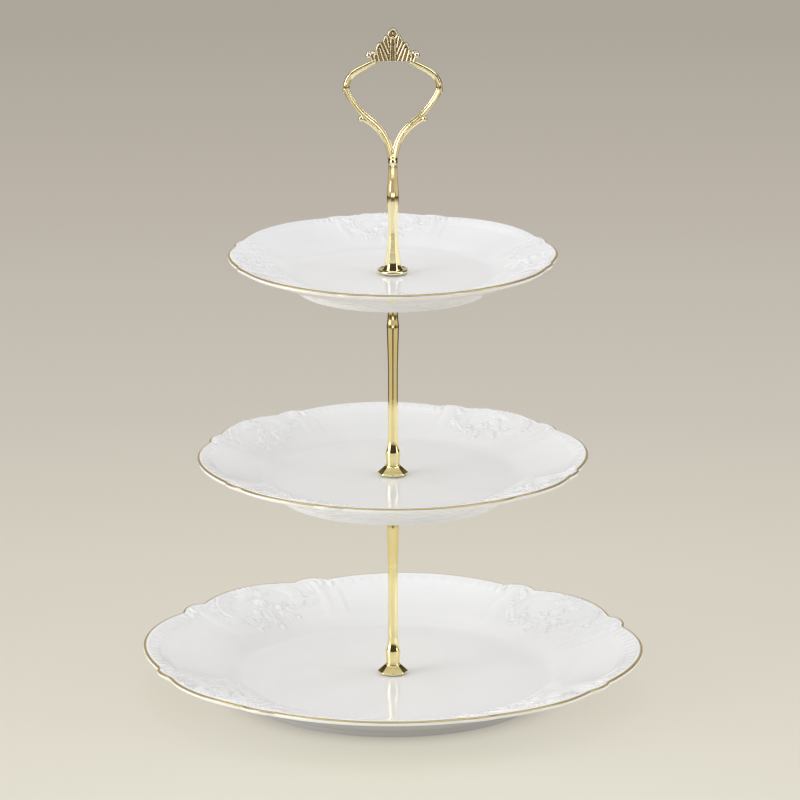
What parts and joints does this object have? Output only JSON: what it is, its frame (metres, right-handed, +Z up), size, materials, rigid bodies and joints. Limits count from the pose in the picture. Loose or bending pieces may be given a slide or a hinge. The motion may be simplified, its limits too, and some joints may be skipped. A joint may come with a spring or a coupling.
{
  "type": "tiered cake stand",
  "caption": "Tiered stand of scalloped round plates on a slim centre pole with a flanged foot at each tier and an open loop handle with a small crown on top.",
  "frame": {"origin": "centre of the lowest foot ring, on the surface that the stand rests on", "axes": "+Z up the pole; the handle's loop and crown lie in the XZ plane; +Y away from a viewer who faces the crown"},
  "size_m": [0.2696, 0.2696, 0.367],
  "materials": {
    "porcelain": "glossy white glaze",
    "gold_plate": "polished pale gold plating",
    "steel": "bright zinc plating",
    "gasket": "soft translucent plastic"
  },
  "bodies": {
    "bottom_plate": {"bottom_plate": "porcelain"},
    "lower_rod": {"lower_rod": "gold_plate", "lower_rod_stud": "steel", "middle_washer": "steel", "middle_lower_gasket": "gasket", "bottom_upper_gasket": "gasket"},
    "base_washer": {"base_washer": "steel", "bottom_lower_gasket": "gasket"},
    "base_screw": {"base_screw": "steel"},
    "middle_plate": {"middle_plate": "porcelain"},
    "middle_gasket": {"middle_upper_gasket": "gasket"},
    "upper_rod": {"upper_rod": "gold_plate", "upper_rod_stud": "steel", "top_washer": "steel", "top_lower_gasket": "gasket"},
    "top_plate": {"top_plate": "porcelain"},
    "top_gasket": {"top_upper_gasket": "gasket"},
    "crown_handle": {"crown_handle": "gold_plate"}
  },
  "joints": [
    {"name": "pole_turn", "type": "hinge", "parent": "bottom_plate", "child": "lower_rod", "pos_m": [0, 0, 0.0108], "axis": [0, 0, 1], "continuous": true},
    {"name": "base_washer_drop", "type": "slide", "parent": "lower_rod", "child": "base_washer", "axis": [0, 0, -1], "range_m": [0, 0.007]},
    {"name": "base_screw_unscrew", "type": "hinge", "parent": "base_washer", "child": "base_screw", "pos_m": [0, 0, 0.0032], "axis": [0, 0, -1], "range_deg": [0, 3600]},
    {"name": "middle_plate_turn", "type": "hinge", "parent": "lower_rod", "child": "middle_plate", "pos_m": [0, 0, 0.1215], "axis": [0, 0, 1], "continuous": true},
    {"name": "upper_rod_lift", "type": "slide", "parent": "lower_rod", "child": "middle_gasket", "axis": [0, 0, 1], "range_m": [0, 0.007]},
    {"name": "upper_rod_unscrew", "type": "hinge", "parent": "middle_gasket", "child": "upper_rod", "pos_m": [0, 0, 0.1223], "axis": [0, 0, 1], "range_deg": [0, 3600]},
    {"name": "top_plate_turn", "type": "hinge", "parent": "upper_rod", "child": "top_plate", "pos_m": [0, 0, 0.233], "axis": [0, 0, 1], "continuous": true},
    {"name": "handle_lift", "type": "slide", "parent": "upper_rod", "child": "top_gasket", "axis": [0, 0, 1], "range_m": [0, 0.007]},
    {"name": "handle_unscrew", "type": "hinge", "parent": "top_gasket", "child": "crown_handle", "pos_m": [0, 0, 0.2338], "axis": [0, 0, 1], "range_deg": [0, 3600]}
  ],
  "couplings": [
    {"joint": "base_screw_unscrew", "follows": "base_washer_drop", "rad_per_m": 8976},
    {"joint": "upper_rod_unscrew", "follows": "upper_rod_lift", "rad_per_m": 8976},
    {"joint": "handle_unscrew", "follows": "handle_lift", "rad_per_m": 8976}
  ]
}
